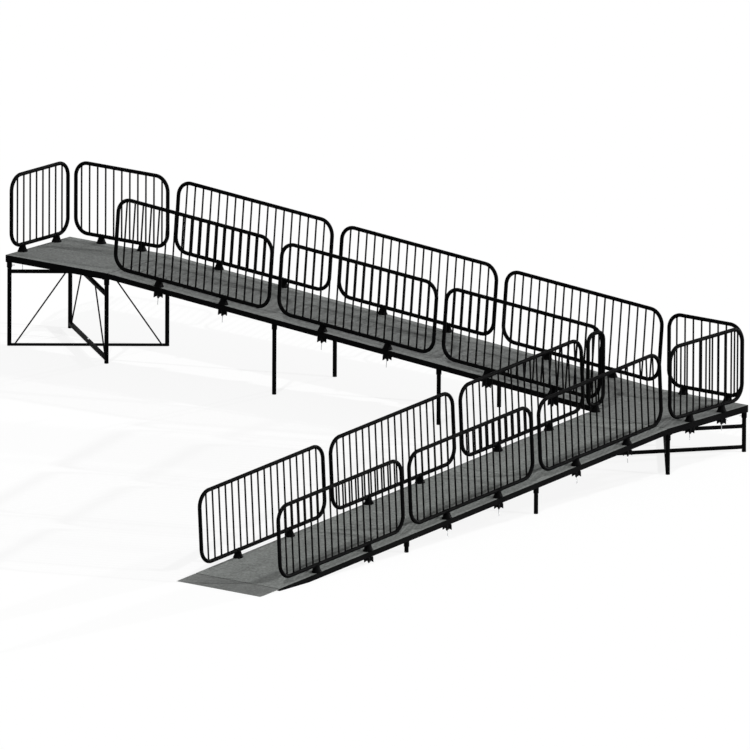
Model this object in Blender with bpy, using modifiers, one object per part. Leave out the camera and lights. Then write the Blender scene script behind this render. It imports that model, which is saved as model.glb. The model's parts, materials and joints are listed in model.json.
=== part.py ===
"""Portable stage access ramp, turning once on a landing, with guard rails.

The ramp leaves the stage at a top landing, runs down three sections to a lower landing, turns
and runs down three more sections to a hinged approach plate. Both landings stand on folding
X risers: two welded leg frames that cross and pivot about a bolt at the middle. The ramp
sections stand on plug-in legs, and every guard rail is clamped to the edge of a deck.

Site axes: x along the upper ramp, y across it, z up, ground at z = 0, with the corner of the
top landing where the ramp starts at x = 0, y = 0. An empty then centres the whole ramp.
"""

import math

import bmesh
import bpy
from mathutils import Matrix, Vector

INCH = 0.0254

# Levels and layout of the ramp
TOP_LEVEL = 43.16 * INCH
MID_LEVEL = 21.95 * INCH
DECK_WIDTH = 48.0 * INCH
TOP_LENGTH = 60.0 * INCH
MID_LENGTH = 60.0 * INCH
MID_WIDTH = DECK_WIDTH
MID_BACK_STEP = 0.3 * INCH
SECTION_RUN = 96.0 * INCH
SECTIONS = 3
APPROACH_RUN = 14.1 * INCH
TIP_THICKNESS = 0.06 * INCH

# Gaps between pieces that touch
SEAT_GAP = 0.0003
PANEL_GAP = 0.0008
PIN_GAP = 0.0006
STUD_GAP = 0.0015

# Deck frames and panels
RAMP_DEPTH = 2.65 * INCH
LANDING_DEPTH = 3.1 * INCH
PANEL_THICKNESS = 0.75 * INCH
LIP_WIDTH = 0.12 * INCH
RAIL_WIDTH = 3.0 * INCH
BAR_WIDTH = 1.5 * INCH
BAR_RISE = 0.4 * INCH
RIM_WIDTH = 2.4 * INCH
PAD_SIZE = 2.85 * INCH
PAD_THICKNESS = 0.25 * INCH

# Legs and their collars
LEG_RADIUS = 1.0 * INCH
COLLAR_RADIUS = 1.25 * INCH
COLLAR_HEIGHT = 2.56 * INCH
LEG_INSET = 1.3 * INCH
LEG_SIDES = 12
SOCKET_BITE = 0.6 * INCH

# Folding risers
RISER_BAR_WIDTH = 1.9 * INCH
RISER_BAR_HEIGHT = 1.5 * INCH
GROUND_BAR_HEIGHT = 1.0 * INCH
INNER_BAR_LIFT = 0.57 * INCH
TOP_BAR_DROPS = (4.0 * INCH, 1.1 * INCH)
MID_BAR_DROPS = (3.7 * INCH, 0.8 * INCH)
BAR_END_BITE = 0.35 * INCH
BRACE_RADIUS = 0.36 * INCH
BRACE_FOOT = 2.4 * INCH
BRACE_LEAN = 0.69
BOLT_RADIUS = 0.25 * INCH
BOLT_SIDES = 8
WASHER_RADIUS = 0.5 * INCH
NUT_RADIUS = 0.44 * INCH
NUT_HEIGHT = 0.43 * INCH
BOLT_TAIL = 0.45 * INCH
BOLT_RECESS = 0.12 * INCH

# Guard rail hoops
RAIL_INSET = 1.5 * INCH
HOOP_RADIUS = 0.9 * INCH
HOOP_LOW = 3.4 * INCH
HOOP_HIGH = 36.9 * INCH
HOOP_CORNER = 7.0 * INCH
CORNER_STEPS = 3
BAR_SIZE = 0.62 * INCH
BAR_PITCH = 4.75 * INCH
BAR_END = 0.25 * INCH

# The rail of a ramp section: how much its span is under the section's, and the least gap at its ends
RAMP_RAIL_SHORTFALL = 5.53 * INCH
RAMP_RAIL_END_GAP = 3.0 * INCH
RAMP_RAIL_SPAN = SECTION_RUN - RAMP_RAIL_SHORTFALL
RAMP_RAIL_BARS = 1 + int((RAMP_RAIL_SPAN - 2 * RAMP_RAIL_END_GAP) / BAR_PITCH)

# Each rail: number of bars, gap from the last bar to the end tube and distance between clamps
RAIL_8FT = (RAMP_RAIL_BARS, (RAMP_RAIL_SPAN - (RAMP_RAIL_BARS - 1) * BAR_PITCH) / 2, 38.0 * INCH)
RAIL_5FT = (11, 3.39 * INCH, 24.0 * INCH)
RAIL_4FT = (8, 4.46 * INCH, 25.4 * INCH)
RAIL_1FT = (2, 3.38 * INCH, 0.0)
SHORT_CORNER = 4.2 * INCH

# Centres of the rails along the landing edges
TOP_BACK_FROM_RAMP = 28.2 * INCH
TOP_LEFT_CENTRE = 23.5 * INCH
MID_BACK_CENTRE = 24.4 * INCH
MID_RIGHT_CENTRE = 29.9 * INCH
MID_SHORT_CENTRE = 5.65 * INCH

# Rail clamps: a flared foot on the deck, a threaded stud through it and a star knob below
FOOT_BASE = 2.375 * INCH
FOOT_NECK = 1.6 * INCH
FOOT_FLARE = 1.5 * INCH
FOOT_TOP = 3.05 * INCH
FOOT_SIDES = 8
STUD_RADIUS = 0.16 * INCH
STUD_SIDES = 6
STUD_REACH = 8.85 * INCH
STUD_MARGIN = 0.12 * INCH
KNOB_RADIUS = 2.3 * INCH
KNOB_WAIST = 1.25 * INCH
KNOB_NOTCH = 0.8 * INCH
KNOB_LOBES = 5
KNOB_HEIGHT = 2.6 * INCH

# Approach plate and its hinge
PLATE_THICKNESS = 0.25 * INCH
PLATE_SIDE_GAP = 0.1 * INCH
BARREL_RADIUS = 0.3 * INCH
BARREL_SIDES = 10
HINGE_PIN_RADIUS = 0.125 * INCH
HINGE_PIN_SIDES = 8
HINGE_REACH = 0.36 * INCH
HINGE_DEPTH = 0.33 * INCH
HINGE_MARGIN = 1.0 * INCH
KNUCKLES = 5
KNUCKLE_GAP = 0.0005
WEB_HALF_HEIGHT = 0.2 * INCH
WEB_BITE = 0.3 * INCH

# Derived layout
TOP_FALL = math.atan2(TOP_LEVEL - MID_LEVEL, SECTIONS * SECTION_RUN)
MID_FALL = math.atan2(MID_LEVEL - TIP_THICKNESS, SECTIONS * SECTION_RUN + APPROACH_RUN)
CLAMP_OVERHANG = FOOT_BASE - RAIL_INSET
MID_BACK = DECK_WIDTH + MID_BACK_STEP
MID_STEP_OUT = MID_LENGTH - MID_BACK
UPPER_RUN = SECTIONS * SECTION_RUN
LOWER_RUN = UPPER_RUN + APPROACH_RUN
CENTRE_X = (UPPER_RUN + MID_WIDTH - TOP_LENGTH) / 2
CENTRE_Y = (MID_BACK + CLAMP_OVERHANG - MID_STEP_OUT - LOWER_RUN) / 2


# Scene, collections and materials

def clear_scene():
    for ob in list(bpy.data.objects):
        bpy.data.objects.remove(ob, do_unlink=True)


def new_collection(name):
    collection = bpy.data.collections.new(name)
    bpy.context.scene.collection.children.link(collection)
    return collection


def new_material(name, color, roughness, metallic):
    material = bpy.data.materials.new(name)
    material.use_nodes = True
    shader = material.node_tree.nodes["Principled BSDF"]
    shader.inputs["Base Color"].default_value = (*color, 1.0)
    shader.inputs["Roughness"].default_value = roughness
    shader.inputs["Metallic"].default_value = metallic
    return material


FINISHES = {
    "frame_black": ((0.012, 0.012, 0.013), 0.45, 0.0),
    "knob_black": ((0.01, 0.01, 0.01), 0.6, 0.0),
    "deck_grey": ((0.17, 0.18, 0.175), 0.75, 0.0),
    "plate_grey": ((0.16, 0.165, 0.163), 0.5, 0.3),
    "zinc": ((0.55, 0.56, 0.57), 0.35, 0.9),
}


# Primitive shapes added to a bmesh

def add_box(bm, x, y, z, place=Matrix.Identity(4)):
    """A box between the two limits given for each axis."""
    size = (x[1] - x[0], y[1] - y[0], z[1] - z[0])
    middle = ((x[0] + x[1]) / 2, (y[0] + y[1]) / 2, (z[0] + z[1]) / 2)
    matrix = place @ Matrix.Translation(middle) @ Matrix.Diagonal((*size, 1.0))
    bmesh.ops.create_cube(bm, size=1.0, matrix=matrix)


def add_cylinder(bm, radius, sides, z0, z1, place=Matrix.Identity(4), top=None):
    """A cylinder along local z, or a taper where a top radius is given."""
    middle = Matrix.Translation((0, 0, (z0 + z1) / 2))
    bmesh.ops.create_cone(
        bm, cap_ends=True, cap_tris=False, segments=sides, radius1=radius,
        radius2=radius if top is None else top, depth=z1 - z0, matrix=place @ middle)


def add_rod(bm, start, end, radius, sides):
    """A round bar between two points."""
    run = Vector(end) - Vector(start)
    turn = Vector((0, 0, 1)).rotation_difference(run).to_matrix().to_4x4()
    add_cylinder(bm, radius, sides, 0.0, run.length, Matrix.Translation(start) @ turn)


def shape(build, *args, **options):
    """A new bmesh with one shape in it."""
    bm = bmesh.new()
    build(bm, *args, **options)
    return bm


# Turning bmeshes into finished meshes

def working_object(name, bm):
    bmesh.ops.recalc_face_normals(bm, faces=bm.faces[:])
    mesh = bpy.data.meshes.new(name)
    bm.to_mesh(mesh)
    bm.free()
    ob = bpy.data.objects.new(name, mesh)
    ob.hide_render = True
    ob.display_type = "WIRE"
    CUTTERS.objects.link(ob)
    return ob


def baked(ob):
    """The evaluated mesh of an object, with its flat faces merged."""
    bpy.context.view_layer.update()
    graph = bpy.context.evaluated_depsgraph_get()
    mesh = bpy.data.meshes.new_from_object(ob.evaluated_get(graph))
    bm = bmesh.new()
    bm.from_mesh(mesh)
    bmesh.ops.remove_doubles(bm, verts=bm.verts[:], dist=0.00001)
    bmesh.ops.dissolve_limit(
        bm, angle_limit=math.radians(0.02), verts=bm.verts[:], edges=bm.edges[:])
    bm.to_mesh(mesh)
    bm.free()
    return mesh


def fused(name, base, joined=(), cuts=()):
    """One closed mesh: the base with every joined shape added, then every cut taken away."""
    body = working_object(name, base)
    tools = []
    for operation, shapes in (("UNION", joined), ("DIFFERENCE", cuts)):
        for bm in shapes:
            tool = working_object(name + "_tool", bm)
            step = body.modifiers.new(operation.title(), "BOOLEAN")
            step.operation = operation
            step.solver = "EXACT"
            step.object = tool
            tools.append(tool)
    mesh = baked(body)
    mesh.name = name
    for ob in (body, *tools):
        bpy.data.objects.remove(ob, do_unlink=True)
    return mesh


def add_piece(name, mesh, finish, parent, place=Matrix.Identity(4)):
    """A named piece of the ramp, placed in the frame of its parent empty."""
    ob = bpy.data.objects.new(name, mesh)
    if not mesh.materials:
        color, roughness, metallic = FINISHES[finish]
        mesh.materials.append(new_material(name, color, roughness, metallic))
    ob.parent = parent
    ob.matrix_local = place
    RAMP.objects.link(ob)
    return ob


def add_empty(name, parent, place):
    empty = bpy.data.objects.new(name, None)
    empty.empty_display_size = 0.2
    empty.parent = parent
    empty.matrix_local = place
    RAMP.objects.link(empty)
    return empty


def smooth_round_faces(mesh):
    mesh.shade_smooth()
    mesh.set_sharp_from_angle(angle=math.radians(35))
    return mesh


# Deck frames

def stud_holes(points, depth):
    """Cutters for the holes that the clamp studs drop through."""
    bm = bmesh.new()
    for x, y in points:
        add_cylinder(bm, STUD_RADIUS + STUD_GAP, STUD_SIDES, -depth - INCH, INCH,
                     Matrix.Translation((x, y, 0)))
    return bm


def bays(length, width, columns, rows):
    """Cutters for the open bays between the cross bars and the centre stringers."""
    bm = bmesh.new()
    bay_x = (length - 2 * RAIL_WIDTH - (columns - 1) * BAR_WIDTH) / columns
    bay_y = (width - 2 * RAIL_WIDTH - (rows - 1) * BAR_WIDTH) / rows
    for column in range(columns):
        x0 = RAIL_WIDTH + column * (bay_x + BAR_WIDTH)
        for row in range(rows):
            y0 = RAIL_WIDTH + row * (bay_y + BAR_WIDTH)
            add_box(bm, (x0, x0 + bay_x), (y0, y0 + bay_y), (-1.0, 1.0))
    return bm


def frame_parts(length, width, depth, columns, rows, points):
    """The slab of a deck frame and the cuts that open it: seat, underside, bays and holes."""
    slab = shape(add_box, (0, length), (0, width), (-depth, 0))
    seat = shape(add_box, (LIP_WIDTH, length - LIP_WIDTH), (LIP_WIDTH, width - LIP_WIDTH),
                 (-PANEL_THICKNESS - SEAT_GAP, depth))
    under = shape(add_box, (RIM_WIDTH, length - RIM_WIDTH), (RIM_WIDTH, width - RIM_WIDTH),
                  (-2 * depth, -depth + BAR_RISE))
    return slab, [seat, under, bays(length, width, columns, rows), stud_holes(points, depth)]


def deck_panel(name, length, width, points, parent):
    inset = LIP_WIDTH + PANEL_GAP
    panel = shape(add_box, (inset, length - inset), (inset, width - inset), (-PANEL_THICKNESS, 0))
    mesh = fused(name, panel, cuts=[stud_holes(points, PANEL_THICKNESS)])
    add_piece(name, mesh, "deck_grey", parent)


def corner_pads(length, width, depth):
    """Pads welded under the corners of a landing, for the collars of its riser."""
    bm = bmesh.new()
    edge = 0.02 * INCH
    for x in ((edge, PAD_SIZE), (length - PAD_SIZE, length - edge)):
        for y in ((edge, PAD_SIZE), (width - PAD_SIZE, width - edge)):
            add_box(bm, x, y, (-depth - PAD_THICKNESS, -depth + PAD_THICKNESS))
    return bm


def landing(name, length, width, columns, rows, place, points):
    """A landing: its frame, with a pad under each corner for the riser, and its panel."""
    module = add_empty(name + "_module", SITE, place)
    slab, cuts = frame_parts(length, width, LANDING_DEPTH, columns, rows, points)
    mesh = fused(name + "_frame", slab, [corner_pads(length, width, LANDING_DEPTH)], cuts)
    add_piece(name + "_frame", mesh, "frame_black", module)
    deck_panel(name + "_deck", length, width, points, module)
    return module


# Ramp sections

def upright(place):
    """A turn, in a section's own frame, that stands a piece upright on the site."""
    return place.to_3x3().inverted().to_4x4()


def socket_point(side):
    """Where the leg on one side of a section meets the underside of its frame."""
    return Vector((LEG_INSET, LEG_INSET if side == 0 else DECK_WIDTH - LEG_INSET, -RAMP_DEPTH))


def seat_drop(fall):
    """How far below the sloping underside the flat end of a socket lies."""
    return COLLAR_RADIUS * math.tan(fall)


def section(name, place, length, fall, with_legs, points, ground_cut=False, knuckles=None):
    """One ramp section: its frame, with sockets for its legs, and its panel."""
    module = add_empty(name + "_module", SITE, place)
    slab, cuts = frame_parts(length, DECK_WIDTH, RAMP_DEPTH, 4, 2, points)
    joined = []
    if with_legs:
        collars = bmesh.new()
        holes = bmesh.new()
        for side in (0, 1):
            stand = Matrix.Translation(socket_point(side)) @ upright(place)
            add_cylinder(collars, COLLAR_RADIUS, LEG_SIDES, -COLLAR_HEIGHT, SOCKET_BITE, stand)
            add_cylinder(holes, LEG_RADIUS + PIN_GAP, LEG_SIDES, -COLLAR_HEIGHT * 2,
                         -seat_drop(fall), stand)
        joined.append(collars)
        cuts.append(holes)
    if ground_cut:
        cuts.append(below_ground(place))
    if knuckles:
        joined.extend(knuckles[0])
        cuts.extend(knuckles[1])
    mesh = fused(name + "_frame", slab, joined, cuts)
    add_piece(name + "_frame", mesh, "frame_black", module)
    deck_panel(name + "_deck", length, DECK_WIDTH, points, module)
    return module


def ramp_leg(name, place, side, fall):
    """A plug-in leg: a plain tube from its seat in the socket to the ground."""
    top = place @ (socket_point(side) + upright(place) @ Vector((0, 0, -seat_drop(fall) - SEAT_GAP)))
    leg = shape(add_cylinder, LEG_RADIUS, LEG_SIDES, -top.z, 0.0)
    add_piece(name, smooth_round_faces(fused(name, leg)), "frame_black", SITE,
              Matrix.Translation(top))


def below_ground(place):
    """A cutter, in a section's own frame, for everything under the ground."""
    reach = 4 * SECTION_RUN
    inverse = place.inverted()
    return shape(add_box, (-reach, 2 * reach), (-2 * reach, reach), (-reach, 0), inverse)


def section_places(origin, heading, fall, level_edge):
    """Where each section of one ramp starts, and the length of a section along its slope."""
    start = RAMP_DEPTH * math.sin(fall) + SEAT_GAP
    pitch = (UPPER_RUN - SEAT_GAP - start) / math.cos(fall) / SECTIONS
    turn = Matrix.Rotation(heading, 4, "Z") @ Matrix.Rotation(fall, 4, "Y")
    forward = turn.to_3x3() @ Vector((1, 0, 0))
    edge = Vector((*origin, level_edge))
    first = edge + forward * (start / math.cos(fall))
    places = [Matrix.Translation(first + forward * (pitch * k)) @ turn for k in range(SECTIONS)]
    return places, pitch - SEAT_GAP


# Approach plate

def knuckle_spans():
    """Limits across the ramp of each hinge knuckle; the frame has the even ones."""
    reach = (DECK_WIDTH - 2 * HINGE_MARGIN) / KNUCKLES
    for k in range(KNUCKLES):
        start = HINGE_MARGIN + k * reach
        yield k, start + KNUCKLE_GAP / 2, start + reach - KNUCKLE_GAP / 2


def knuckle_shapes(parity, web, axis_x, axis_z):
    """Barrels and webs of one leaf of the hinge."""
    barrels = bmesh.new()
    webs = bmesh.new()
    along_y = Matrix.Rotation(math.radians(-90), 4, "X")
    for k, y0, y1 in knuckle_spans():
        if k % 2 != parity:
            continue
        stand = Matrix.Translation((axis_x, 0, axis_z)) @ along_y
        add_cylinder(barrels, BARREL_RADIUS, BARREL_SIDES, y0, y1, stand)
        add_box(webs, sorted((axis_x, axis_x + web)), (y0 + KNUCKLE_GAP, y1 - KNUCKLE_GAP),
                (axis_z - WEB_HALF_HEIGHT, axis_z + WEB_HALF_HEIGHT))
    return [barrels, webs]


def pin_bore(axis_x, axis_z):
    along_y = Matrix.Rotation(math.radians(-90), 4, "X")
    stand = Matrix.Translation((axis_x, 0, axis_z)) @ along_y
    return shape(add_cylinder, HINGE_PIN_RADIUS + PIN_GAP, HINGE_PIN_SIDES, -INCH,
                 DECK_WIDTH + INCH, stand)


def approach(place, length):
    """The hinged plate at the foot of the ramp, and the pin that it turns on."""
    axis = add_empty("approach_hinge_axis", SITE,
                     place @ Matrix.Translation((length + HINGE_REACH, 0, -HINGE_DEPTH)))
    foot = (UPPER_RUN + APPROACH_RUN) / math.cos(MID_FALL)
    start = (SECTIONS - 1) * (length + SEAT_GAP) + RAMP_DEPTH * math.tan(MID_FALL)
    tip = foot - start - SEAT_GAP - length - HINGE_REACH
    plate = shape(add_box, (HINGE_REACH, tip), (PLATE_SIDE_GAP, DECK_WIDTH - PLATE_SIDE_GAP),
                  (HINGE_DEPTH - PLATE_THICKNESS, HINGE_DEPTH))
    leaf = knuckle_shapes(1, HINGE_REACH + WEB_BITE, 0, 0)
    ground = below_ground(place @ Matrix.Translation((length + HINGE_REACH, 0, -HINGE_DEPTH)))
    mesh = fused("approach_plate", plate, leaf, [pin_bore(0, 0), ground])
    add_piece("approach_plate", mesh, "plate_grey", axis)
    along_y = Matrix.Rotation(math.radians(-90), 4, "X")
    pin = shape(add_cylinder, HINGE_PIN_RADIUS, HINGE_PIN_SIDES, HINGE_MARGIN,
                DECK_WIDTH - HINGE_MARGIN, along_y)
    add_piece("approach_hinge_pin", smooth_round_faces(fused("approach_hinge_pin", pin)), "zinc", axis)


# Folding risers

def riser_levels(deck_level, drops):
    """Heights of the bars: ground bar, crossing bar above it, then the two upper bars."""
    top = deck_level - LANDING_DEPTH - PAD_THICKNESS - SEAT_GAP
    outer_top = deck_level - LANDING_DEPTH - drops[0]
    inner_top = outer_top - RISER_BAR_HEIGHT - drops[1]
    inner_low = GROUND_BAR_HEIGHT + INNER_BAR_LIFT
    return {
        "top": top,
        "outer": ((0.0, GROUND_BAR_HEIGHT), (outer_top - RISER_BAR_HEIGHT, outer_top)),
        "inner": ((inner_low, inner_low + RISER_BAR_HEIGHT),
                  (inner_top - RISER_BAR_HEIGHT, inner_top)),
    }


def leg_frame(name, half, top, bars, braced):
    """Two legs with collars, joined by a lower and an upper bar, bored for the pivot bolts."""
    legs = bmesh.new()
    collars = bmesh.new()
    rails = bmesh.new()
    braces = bmesh.new()
    bores = bmesh.new()
    for side in (-1, 1):
        stand = Matrix.Translation((side * half, 0, 0))
        add_cylinder(legs, LEG_RADIUS, LEG_SIDES, 0, top - COLLAR_HEIGHT / 2, stand)
        add_cylinder(collars, COLLAR_RADIUS, LEG_SIDES, top - COLLAR_HEIGHT, top, stand)
        if braced:
            foot, head = [(low + high) / 2 for low, high in bars]
            near = half - BRACE_FOOT
            add_rod(braces, (side * near, 0, foot),
                    (side * (near - BRACE_LEAN * (head - foot)), 0, head), BRACE_RADIUS, 6)
    for low, high in bars:
        reach = half - BAR_END_BITE
        add_box(rails, (-reach, reach), (-RISER_BAR_WIDTH / 2, RISER_BAR_WIDTH / 2), (low, high))
        add_cylinder(bores, BOLT_RADIUS + PIN_GAP, BOLT_SIDES, low - INCH / 4, high + INCH / 4)
    joined = [collars, rails] + ([braces] if braced else [])
    return fused(name, legs, joined, [bores])


def turned(name, profile):
    """A turned piece: its outer line, top to bottom, swept round the z axis."""
    mesh = bpy.data.meshes.new(name)
    bm = bmesh.new()
    verts = [bm.verts.new((r, 0, z)) for r, z in profile]
    for first, second in zip(verts, verts[1:]):
        bm.edges.new((first, second))
    bm.to_mesh(mesh)
    bm.free()
    ob = bpy.data.objects.new(name, mesh)
    CUTTERS.objects.link(ob)
    spin = ob.modifiers.new("Screw", "SCREW")
    spin.steps = BOLT_SIDES
    spin.render_steps = BOLT_SIDES
    spin.use_merge_vertices = True
    spin.merge_threshold = 0.0001
    result = baked(ob)
    bpy.data.objects.remove(ob, do_unlink=True)
    return result


def pivot_bolt(name, low_bar, high_bar, head_below, parent):
    """A bolt through two crossing bars, with a washer between them and a nut."""
    gap = SEAT_GAP
    top = high_bar[1] + NUT_HEIGHT + (0 if head_below else BOLT_TAIL)
    bottom = low_bar[0] - NUT_HEIGHT if head_below else low_bar[0] + BOLT_RECESS
    profile = [
        (0, top), (BOLT_RADIUS, top), (BOLT_RADIUS, high_bar[1] + NUT_HEIGHT),
        (NUT_RADIUS, high_bar[1] + NUT_HEIGHT), (NUT_RADIUS, high_bar[1] + gap),
        (BOLT_RADIUS, high_bar[1] + gap), (BOLT_RADIUS, high_bar[0] - gap),
        (WASHER_RADIUS, high_bar[0] - gap), (WASHER_RADIUS, low_bar[1] + gap),
        (BOLT_RADIUS, low_bar[1] + gap),
    ]
    if head_below:
        profile = [(0, top), (NUT_RADIUS, top)] + profile[4:]
        profile += [(BOLT_RADIUS, low_bar[0] - gap), (NUT_RADIUS, low_bar[0] - gap),
                    (NUT_RADIUS, bottom)]
    else:
        profile += [(BOLT_RADIUS, bottom)]
    profile.append((0, bottom))
    add_piece(name, smooth_round_faces(turned(name, profile)), "zinc", parent)


def riser(name, corner, length, width, deck_level, drops, heading, braced):
    """A folding X riser under a landing. The heading says which diagonal is the outer frame."""
    half = math.hypot(length / 2 - LEG_INSET, width / 2 - LEG_INSET)
    swing = math.atan2(width / 2 - LEG_INSET, length / 2 - LEG_INSET)
    middle = Matrix.Translation((corner[0] + length / 2, corner[1] + width / 2, 0))
    levels = riser_levels(deck_level, drops)
    pivot = add_empty(name + "_pivot", SITE, middle)
    for kind, sense in (("outer", heading), ("inner", -heading)):
        node = f"{name}_{kind}_frame"
        mesh = leg_frame(node, half, levels["top"], levels[kind], braced)
        add_piece(node, smooth_round_faces(mesh), "frame_black", pivot,
                  Matrix.Rotation(sense * swing, 4, "Z"))
    outer, inner = levels["outer"], levels["inner"]
    pivot_bolt(name + "_lower_bolt", outer[0], inner[0], False, pivot)
    pivot_bolt(name + "_upper_bolt", inner[1], outer[1], True, pivot)


# Guard rails

def hoop(span, corner):
    """The bent tube of a guard rail: a rounded rectangle swept by a round section."""
    curve = bpy.data.curves.new("hoop", "CURVE")
    curve.dimensions = "3D"
    curve.twist_mode = "Z_UP"
    curve.bevel_depth = HOOP_RADIUS
    curve.bevel_resolution = 2
    points = []
    right, low, high = span / 2 - corner, HOOP_LOW + corner, HOOP_HIGH - corner
    for x, z, start in ((right, low, -90), (right, high, 0), (-right, high, 90), (-right, low, 180)):
        for k in range(CORNER_STEPS + 1):
            angle = math.radians(start + 90 * k / CORNER_STEPS)
            points.append((x + corner * math.cos(angle), z + corner * math.sin(angle)))
    spline = curve.splines.new("POLY")
    spline.points.add(len(points) - 1)
    for point, (x, z) in zip(spline.points, points):
        point.co = (x, z, 0, 1)
        point.tilt = math.radians(22.5)
    spline.use_cyclic_u = True
    ob = bpy.data.objects.new("hoop", curve)
    CUTTERS.objects.link(ob)
    bpy.context.view_layer.update()
    graph = bpy.context.evaluated_depsgraph_get()
    mesh = bpy.data.meshes.new_from_object(ob.evaluated_get(graph))
    bpy.data.objects.remove(ob, do_unlink=True)
    bm = bmesh.new()
    bm.from_mesh(mesh)
    bmesh.ops.remove_doubles(bm, verts=bm.verts[:], dist=0.00001)
    bm.transform(Matrix.Rotation(math.radians(90), 4, "X"))
    return bm


def hoop_height(x, span, corner):
    """How high the centre of the hoop's upper tube is above a point along the rail."""
    over = min(max(abs(x) - (span / 2 - corner), 0.0), corner)
    return HOOP_HIGH - corner + math.sqrt(corner ** 2 - over ** 2)


def upright_bars(count, span, corner):
    bm = bmesh.new()
    half = BAR_SIZE / 2
    for k in range(count):
        x = (k - (count - 1) / 2) * BAR_PITCH
        top = hoop_height(x, span, corner) - BAR_END
        add_box(bm, (x - half, x + half), (-half, half), (HOOP_LOW + HOOP_HIGH - top, top))
    return bm


def clamp_positions(spread):
    return (-spread / 2, spread / 2) if spread else (0.0,)


def clamp_feet(spread):
    """The flared feet that stand on the deck and carry the hoop."""
    flares = bmesh.new()
    necks = bmesh.new()
    for x in clamp_positions(spread):
        stand = Matrix.Translation((x, 0, 0))
        add_cylinder(flares, FOOT_BASE, FOOT_SIDES, SEAT_GAP, FOOT_FLARE, stand, FOOT_NECK)
        add_cylinder(necks, FOOT_NECK * 0.97, FOOT_SIDES, FOOT_FLARE / 2, FOOT_TOP, stand)
    return [flares, necks]


def add_star(bm, top, place):
    """A star knob hanging from a level. The underside of each lobe runs down to a point."""
    upper, lower = [], []
    hollow = top - KNOB_HEIGHT + KNOB_NOTCH
    for k in range(2 * KNOB_LOBES):
        radius = KNOB_WAIST if k % 2 else KNOB_RADIUS
        angle = math.pi * k / KNOB_LOBES
        x, y = radius * math.cos(angle), radius * math.sin(angle)
        upper.append(bm.verts.new(place @ Vector((x, y, top))))
        lower.append(bm.verts.new(place @ Vector((x, y, hollow if k % 2 else top - KNOB_HEIGHT))))
    bm.faces.new(upper)
    for k in range(2 * KNOB_LOBES):
        bm.faces.new((upper[k - 1], upper[k], lower[k], lower[k - 1]))
    under = bmesh.ops.poke(bm, faces=[bm.faces.new(lower)])["verts"]
    under[0].co = place @ Vector((0, 0, hollow))


def studs_and_knobs(spread, depth, with_knobs, room):
    """The threaded studs, with a knob under the frame wherever the ground leaves room."""
    studs = bmesh.new()
    knobs = bmesh.new()
    for x in clamp_positions(spread):
        stand = Matrix.Translation((x, 0, 0))
        space = room(x) - STUD_MARGIN
        fits = space > depth + KNOB_HEIGHT
        end = min(STUD_REACH, space) if fits else min(depth, space)
        add_cylinder(studs, STUD_RADIUS, STUD_SIDES, -end, FOOT_FLARE, stand)
        if with_knobs and fits:
            add_star(knobs, -depth - SEAT_GAP, stand)
    return [studs, knobs] if knobs.verts else [studs]


def plenty(x):
    return 2 * STUD_REACH


def rail_mesh(name, size, depth, with_knobs, corner=HOOP_CORNER, room=plenty):
    """A guard rail with its clamps, in its own plane, standing on the deck at z = 0."""
    count, end_gap, spread = size
    span = (count - 1) * BAR_PITCH + 2 * end_gap
    joined = [upright_bars(count, span, corner)] + clamp_feet(spread)
    joined += studs_and_knobs(spread, depth, with_knobs, room)
    return smooth_round_faces(fused(name, hoop(span, corner), joined))


def rail_place(length, width, side, centre):
    """A rail's place on one edge of a deck: front, back, left or right of the module."""
    quarter = {"front": 0, "right": 90, "back": 180, "left": -90}[side]
    spots = {
        "front": (centre, RAIL_INSET, 0), "back": (centre, width - RAIL_INSET, 0),
        "left": (RAIL_INSET, centre, 0), "right": (length - RAIL_INSET, centre, 0),
    }
    return Matrix.Translation(spots[side]) @ Matrix.Rotation(math.radians(quarter), 4, "Z")


def stud_points(rails):
    """Where the studs of some rails meet the deck that they stand on."""
    spots = []
    for _, size, place, _ in rails:
        spots += [(place @ Vector((x, 0, 0))).to_2d() for x in clamp_positions(size[2])]
    return spots


def landing_rails(rails, module):
    """The rails of a landing, each with its clamp knobs as pieces of their own."""
    for name, size, place, corner in rails:
        mesh = rail_mesh("rail_" + name, size, LANDING_DEPTH, False, corner)
        add_piece("rail_" + name, mesh, "frame_black", module, place)
        for k, x in enumerate(clamp_positions(size[2])):
            suffix = f"_{k + 1}" if size[2] else ""
            add_piece(f"knob_{name}{suffix}", KNOB, "knob_black", module,
                      place @ Matrix.Translation((x, 0, -LANDING_DEPTH - SEAT_GAP)))


def knob_mesh():
    """A star knob with its origin at the middle of its upper face, on the axis of the stud."""
    bore = shape(add_cylinder, STUD_RADIUS + PIN_GAP, STUD_SIDES, -2 * KNOB_HEIGHT, INCH)
    return fused("knob", shape(add_star, 0.0, Matrix.Identity(4)), cuts=[bore])


# The whole ramp

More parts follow.
